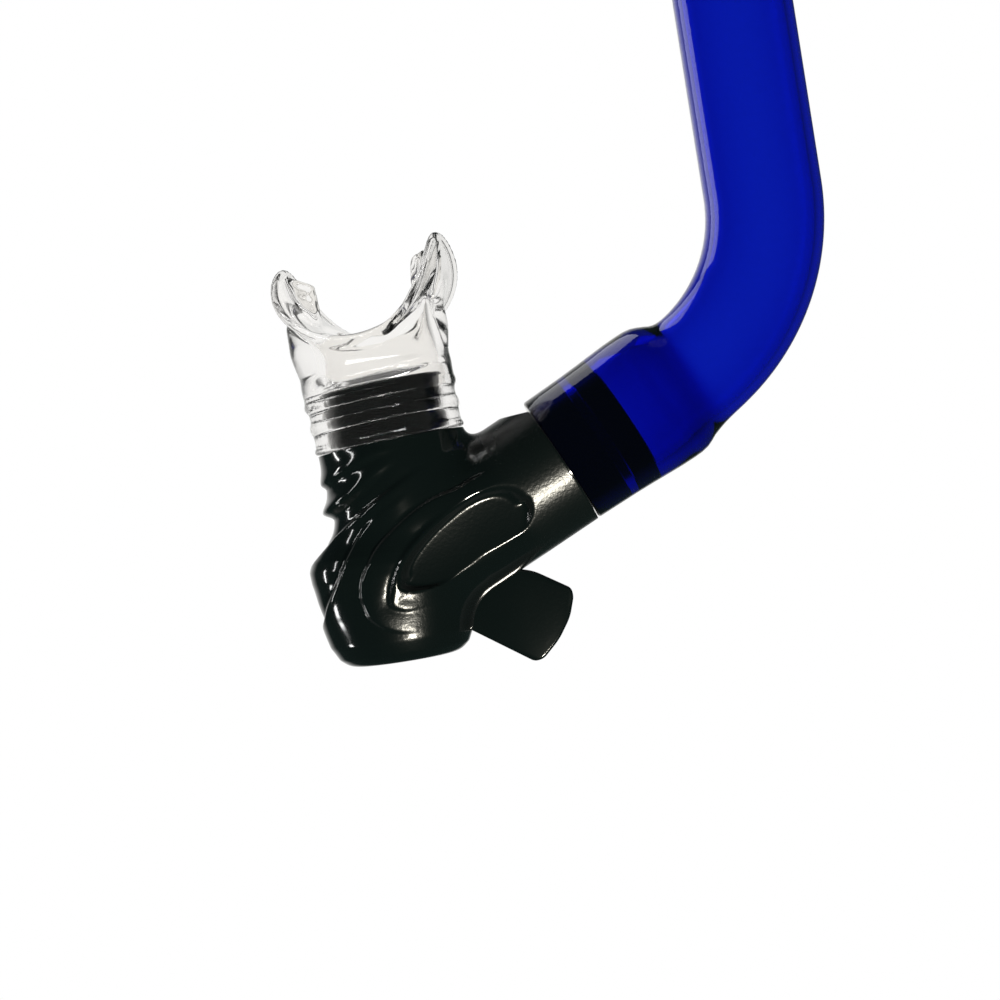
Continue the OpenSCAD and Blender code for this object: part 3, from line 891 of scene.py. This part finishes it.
CLIP_BORE_R = 13.7
LOOP_WIDE = 10.2


def build_sleeve():
    half = 13.0
    inner = 12.55
    waist = 13.65
    lip = 14.95
    profile = [(inner, -half + 0.3), (inner + 0.3, -half), (lip - 0.5, -half), (lip - 0.1, -half + 0.35),
               (lip, -half + 0.9)]
    for k in range(3):
        z = -half + 1.7 + 1.25 * k
        profile += [(lip, z - 0.25), (lip - 0.35, z), (lip, z + 0.25)]
    profile += [(lip, -7.75), (lip - 0.25, -7.4), (waist + 0.25, -7.3), (waist, -7.05)]
    profile += [(r, -z) for r, z in reversed(profile)]
    obj = to_object(lathe(profile, KEEPER, steps=112))
    finish_piece(obj, "keeper_sleeve_rubber", "sleeve", RUBBER, ["keeper_sleeve"], sharp=40)


def build_clip():
    low, high = box_mm("keeper_clip")
    ring = [(CLIP_BORE_R, -7), (16.1, -7), (16.1, 7), (CLIP_BORE_R, 7)]
    obj = to_object(soften(lathe(ring, KEEPER, steps=112), 0.7, 4))
    left = low.x - tube_x
    right = low.x - tube_x + LOOP_WIDE
    tall = (high.z - low.z) / 2
    loop = rounded(box_outline(left, -tall, right, tall), 2.6)
    boolean(obj, plate(loop, 5.0, KEEPER, bevel=1.1, segments=4), "UNION")
    web = rounded(box_outline(right - 1.5, -6.8, -13.9, 6.8), 0.6)
    boolean(obj, plate(web, 4.8, KEEPER, bevel=0.8), "UNION")
    mid = (left + right) / 2
    slot = rounded(box_outline(mid - 2.5, -13.5, mid + 2.5, 13.5), 1.4)
    boolean(obj, plate(slot, 8.0, KEEPER, bevel=0.01, segments=1), "DIFFERENCE")
    bore = lathe([(0, -9), (CLIP_BORE_R, -9), (CLIP_BORE_R, 9), (0, 9)], KEEPER, closed=False, steps=112)
    boolean(obj, bore, "DIFFERENCE")
    finish_piece(obj, "keeper_clip_loop", "clip", CLIP, ["keeper_clip"], sharp=30)


def build_band():
    low, high = box_mm("signal_band")
    tall = high.z - low.z
    r = (high.x - low.x) / 2
    profile = [(r - 0.6, 0.15), (r - 0.45, 0), (r - 0.2, 0), (r - 0.02, 0.12), (r, 0.3), (r, 1.6),
               (r - 0.2, 1.75), (r - 0.2, 2.05), (r, 2.2)]
    profile += [(a, tall - z) for a, z in reversed(profile)]
    obj = to_object(lathe(profile, shift(tube_x, 0, low.z), steps=112))
    finish_piece(obj, "signal_band_sleeve", "tube_body", signal_orange(), ["signal_band"],
                 sharp=40)


tube = build_tube()
chamber = build_chamber()
mouthpiece = build_mouthpiece()
build_seat()
build_flap()
build_cover()
build_sleeve()
build_clip()
build_band()


# ---------- floor, light and camera, all in metres ----------

FLOOR_R = 0.36
LIGHT_DISTANCE = 0.8
VIEW_WIDTH = 0.21115    # how much the camera sees from left to right, in the plane of the bend
BRIGHT_WAY = (-0.23, 1.0, 0.05)     # the brightest direction of the surroundings, behind the object
DEEP_BOUNCE = 2.5       # a mirrored ray that has bounced more often than this sees plain grey
DEEP_GREY = (0.42, 0.42, 0.40, 1)


def build_floor():
    bm = bmesh.new()
    bmesh.ops.create_circle(bm, cap_ends=True, segments=96, radius=FLOOR_R,
                            matrix=Matrix.Translation((0.04, 0, -0.32)))
    floor = to_object(bm, "floor")
    pale = Paint("pale floor", Roughness=0.9)
    pale.set("Base Color", (0.9, 0.9, 0.9, 1))
    floor.data.materials.append(pale.material)
    floor.visible_glossy = False
    floor.visible_transmission = False


def build_world():
    """Surroundings that brighten towards one direction, more sharply when mirrored than when seen through."""
    world = bpy.data.worlds.new("studio")
    bpy.context.scene.world = world
    world.use_nodes = True
    tree = world.node_tree
    tree.nodes.clear()

    def add(kind, *links, **settings):
        """Adds a node with its settings, and links its inputs in order. None leaves an input free."""
        n = tree.nodes.new(kind)
        for k, v in settings.items():
            setattr(n, k, v)
        for socket, link in zip(n.inputs, links):
            if link is not None:
                tree.links.new(link, socket)
        return n

    way = add("ShaderNodeTexCoord").outputs["Generated"]
    dot = add("ShaderNodeVectorMath", way, operation="DOT_PRODUCT")
    dot.inputs[1].default_value = Vector(BRIGHT_WAY).normalized()

    def brightening(start, low, end, high):
        n = add("ShaderNodeValToRGB", dot.outputs["Value"])
        dark, light = n.color_ramp.elements
        dark.position = start
        dark.color = low
        light.position = end
        light.color = high
        return n.outputs["Color"]

    mirror = brightening(0.80, (0.025, 0.04, 0.038, 1), 0.99, (0.95, 0.95, 0.93, 1))
    through = brightening(0.15, (0.16, 0.16, 0.16, 1), 0.62, (1, 1, 1, 1))
    ray = add("ShaderNodeLightPath").outputs
    early = add("ShaderNodeMath", ray["Ray Depth"], operation="LESS_THAN")
    early.inputs[1].default_value = DEEP_BOUNCE
    bounced = add("ShaderNodeMath", ray["Is Glossy Ray"], ray["Is Transmission Ray"],
                  operation="SUBTRACT", use_clamp=True)
    mirrored = add("ShaderNodeMixRGB", early.outputs[0], None, mirror)
    mirrored.inputs[1].default_value = DEEP_GREY
    colour = add("ShaderNodeMixRGB", bounced.outputs[0], through, mirrored.outputs[0])
    sky = add("ShaderNodeBackground", colour.outputs[0])
    add("ShaderNodeOutputWorld", sky.outputs[0])


def softbox(name, target, direction, size, power, piece, colour=(1, 1, 1)):
    """An area light that lights one piece and nothing else."""
    light = bpy.data.lights.new(name, "AREA")
    light.shape = "RECTANGLE"
    light.size = size[0]
    light.size_y = size[1]
    light.energy = power
    light.color = colour
    obj = bpy.data.objects.new(name, light)
    bpy.context.scene.collection.objects.link(obj)
    d = Vector(direction).normalized()
    turn = d.to_track_quat("Z", "Y").to_matrix().to_4x4()
    obj.matrix_world = Matrix.Translation(Vector(target) + d * LIGHT_DISTANCE) @ turn
    lit = bpy.data.collections.new(name + " receivers")
    lit.objects.link(piece)
    obj.light_linking.receiver_collection = lit


def build_camera():
    look = Vector((0.0221, 0, -0.0379))
    up = Vector((0.156, 0, 0.988)).normalized()
    back = Vector((0, -1, 0))
    data = bpy.data.cameras.new("camera")
    data.lens = 75.0
    data.sensor_width = 36.0
    data.clip_start = 0.01
    data.clip_end = 20.0
    cam = bpy.data.objects.new("camera", data)
    m = Matrix((up.cross(back), up, back)).transposed().to_4x4()
    m.translation = look + back * VIEW_WIDTH * data.lens / data.sensor_width
    cam.matrix_world = m
    bpy.context.scene.collection.objects.link(cam)
    bpy.context.scene.camera = cam


build_floor()
build_world()
softbox("left strip", (0, 0, -0.03), (-0.93, 0.13, 0.05), (0.035, 0.35), 1.2, chamber)
softbox("fold strip", (0, 0, -0.03), (-0.90, -0.28, 0.33), (0.03, 0.40), 0.9, chamber)
softbox("low spot", (0, 0, -0.05), (-0.93, 0.0, -0.36), (0.09, 0.09), 0.7, chamber)
softbox("arm key", (0.03, 0, -0.03), (0.216, -0.857, -0.467), (0.09, 0.09), 7.0, chamber, (1, 0.95, 0.82))
softbox("tube side", (0.08, 0, 0.05), (-0.857, 0.515, 0.05), (0.40, 0.9), 2.0, tube)
softbox("socket side", (0.06, 0, 0.0), (-0.36, 0.515, 0.76), (0.5, 0.4), 0.9, tube)
softbox("cuff key", (0, 0, -0.02), (-0.12, -0.60, 0.79), (0.9, 0.12), 6.0, mouthpiece)
build_camera()
bpy.context.scene.view_settings.view_transform = "Standard"
